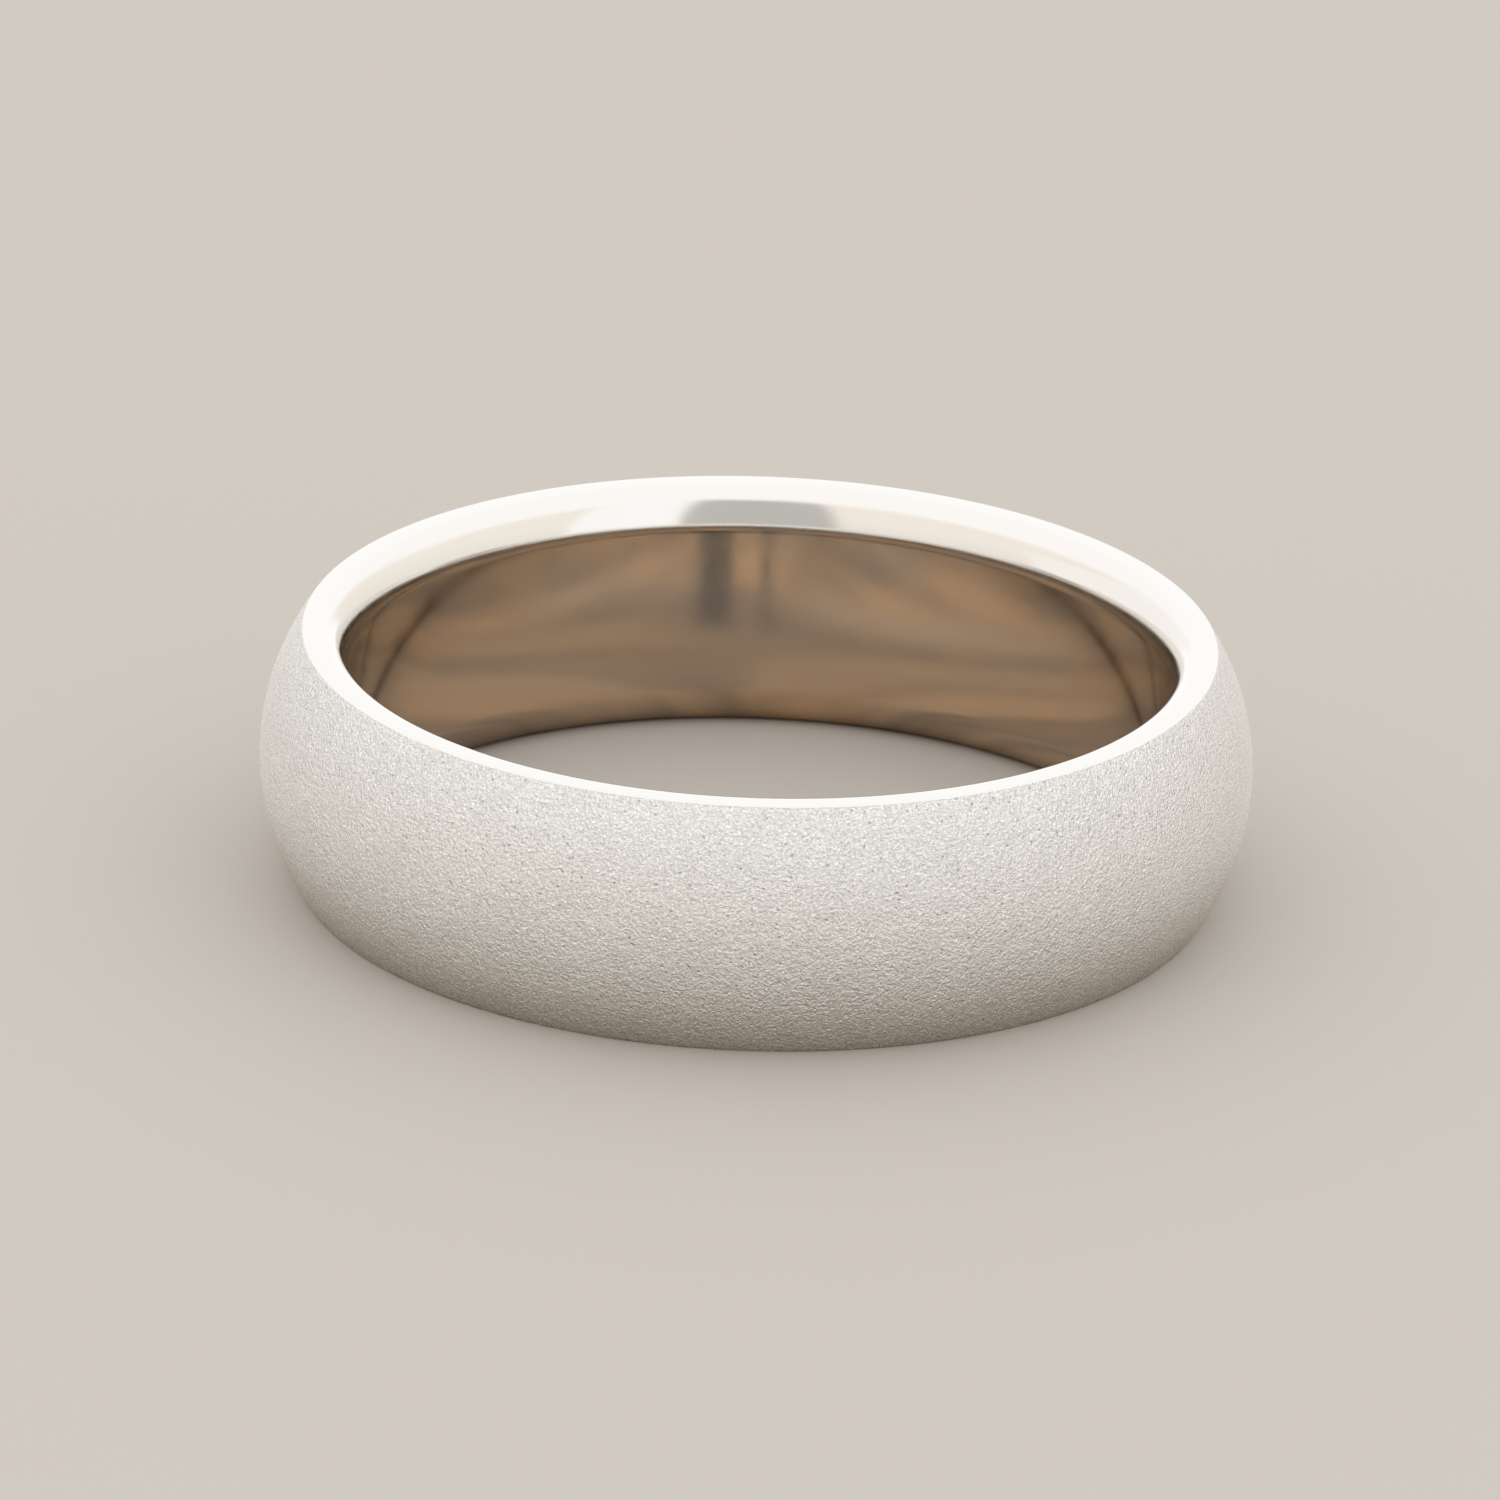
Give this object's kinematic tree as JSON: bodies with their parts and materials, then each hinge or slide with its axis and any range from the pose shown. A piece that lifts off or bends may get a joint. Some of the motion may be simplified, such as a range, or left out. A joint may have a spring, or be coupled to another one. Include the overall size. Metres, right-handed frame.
{
  "type": "wedding band",
  "caption": "Plain comfort-fit finger ring with a domed, sandblasted outer face, narrow polished flat lips and a polished bore with rounded inner edges.",
  "frame": {"origin": "on the finger axis, in the plane of the lip that the band rests on", "axes": "+Z along the finger axis, from the resting lip towards the upper lip; X and Y are any two directions across the band"},
  "size_m": [0.0232, 0.0232, 0.006],
  "materials": {
    "white_metal": "white precious metal: fine sandblasted matt on the domed outer face, mirror polish on both lips, the rounded inner edges and the bore"
  },
  "bodies": {
    "root": {"band": "white_metal"}
  },
  "joints": []
}
